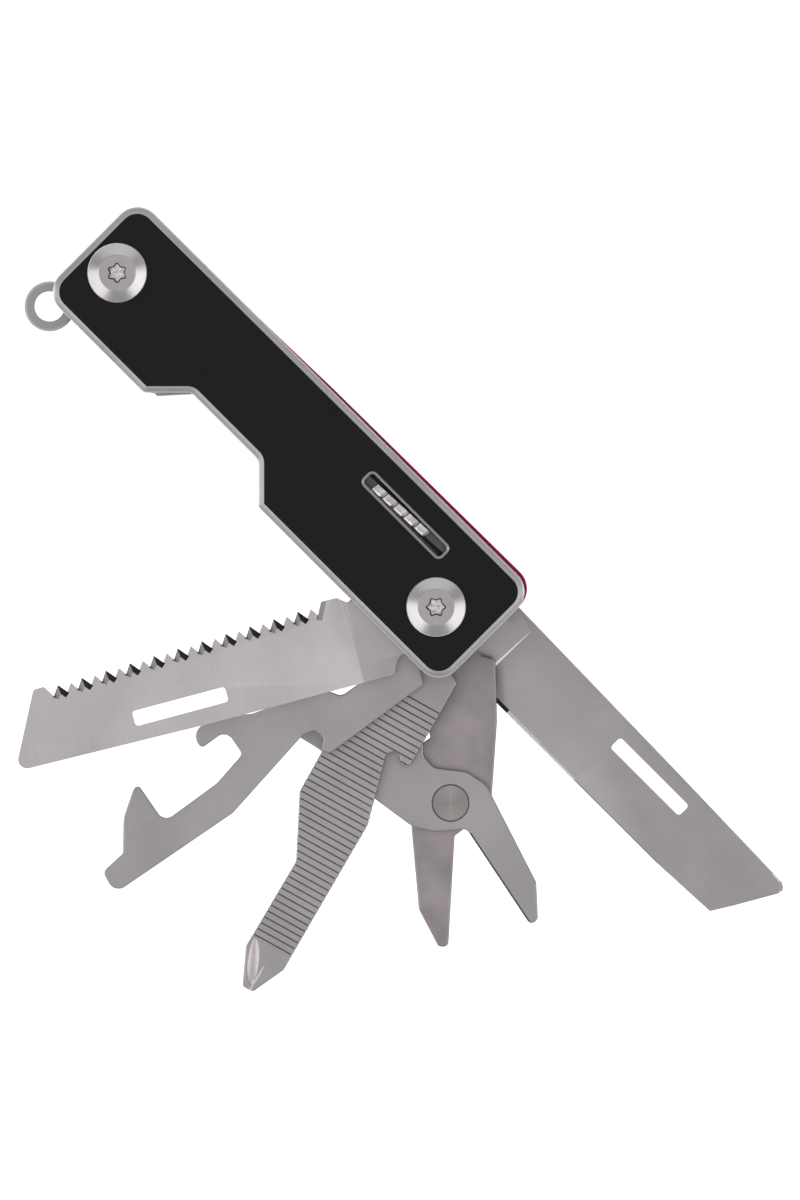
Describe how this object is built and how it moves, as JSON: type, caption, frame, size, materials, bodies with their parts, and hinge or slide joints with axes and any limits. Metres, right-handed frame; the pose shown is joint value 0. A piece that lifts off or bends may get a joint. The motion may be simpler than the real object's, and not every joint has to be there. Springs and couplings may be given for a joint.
{
  "type": "folding multi tool",
  "caption": "Folding pocket multi tool shown open, with knife, scissors, file driver, bottle opener, saw, locking slider and lanyard ring.",
  "frame": {"origin": "on the axis of the main pivot, at the flat face of the rear plate side, where the flush barrel head lies", "axes": "+X along the handle from the end post to the main pivot and on along the opened knife, +Y towards the closed spine of the handle, +Z from the rear plate to the front plate, along every hinge axis but the slider's"},
  "size_m": [0.1371, 0.0728, 0.0166],
  "materials": {
    "steel": "satin, ground across the blade",
    "bright_steel": "turned and polished",
    "spring_steel": "satin",
    "black_aluminium": "black anodised, fine blasted, with a bare chamfered rim",
    "red_aluminium": "crimson anodised, satin",
    "bronze": "satin"
  },
  "bodies": {
    "handle": {"backspring_driver": "spring_steel", "backspring_knife": "spring_steel", "backspring_opener": "spring_steel", "backspring_saw": "spring_steel", "backspring_scissors": "spring_steel", "end_barrel": "bright_steel", "end_screw": "bright_steel", "end_spacer_1": "steel", "end_spacer_2": "steel", "end_spacer_3": "steel", "end_spacer_4": "steel", "end_spacer_5": "steel", "end_spacer_6": "steel", "front_liner": "steel", "front_scale": "black_aluminium", "pivot_barrel": "bright_steel", "pivot_screw": "bright_steel", "pivot_spacer": "steel", "pivot_washer_1": "bronze", "pivot_washer_2": "bronze", "pivot_washer_3": "bronze", "pivot_washer_4": "bronze", "pivot_washer_5": "bronze", "pivot_washer_6": "bronze", "rear_liner": "steel", "rear_scale": "red_aluminium"},
    "saw": {"saw_blade": "steel"},
    "opener": {"bottle_opener": "steel"},
    "driver": {"file_driver": "steel"},
    "scissors": {"scissor_tang": "steel", "scissor_rivet": "bright_steel", "scissor_spring": "spring_steel"},
    "scissor_lever": {"scissor_lever": "steel"},
    "knife": {"knife_blade": "steel"},
    "bail": {"lanyard_bail": "steel"},
    "slider": {"lock_slider": "steel"}
  },
  "joints": [
    {"name": "saw_fold", "type": "hinge", "parent": "handle", "child": "saw", "pos_m": [0, 0, 0], "axis": [0, 0, 1], "range_deg": [-60, 120]},
    {"name": "opener_fold", "type": "hinge", "parent": "handle", "child": "opener", "pos_m": [0, 0, 0], "axis": [0, 0, 1], "range_deg": [-81.7, 98.3]},
    {"name": "driver_fold", "type": "hinge", "parent": "handle", "child": "driver", "pos_m": [0, 0, 0], "axis": [0, 0, 1], "range_deg": [-106, 74]},
    {"name": "scissors_fold", "type": "hinge", "parent": "handle", "child": "scissors", "pos_m": [0, 0, 0], "axis": [0, 0, 1], "range_deg": [-136.5, 43.5]},
    {"name": "knife_fold", "type": "hinge", "parent": "handle", "child": "knife", "pos_m": [0, 0, 0], "axis": [0, 0, 1], "range_deg": [-180, 0]},
    {"name": "scissor_squeeze", "type": "hinge", "parent": "scissors", "child": "scissor_lever", "pos_m": [0.02132, -0.01879, 0], "axis": [0, 0, 1], "range_deg": [-38, 0], "stiffness_Nm_per_rad": 0.12, "deforming": ["scissor_spring"]},
    {"name": "bail_swing", "type": "hinge", "parent": "handle", "child": "bail", "pos_m": [-0.066, 0.00157, 0], "axis": [0, 0, 1], "range_deg": [-110, 20]},
    {"name": "slider_slide", "type": "slide", "parent": "handle", "child": "slider", "axis": [1, 0, 0], "range_m": [-0.0012, 0.003]}
  ]
}
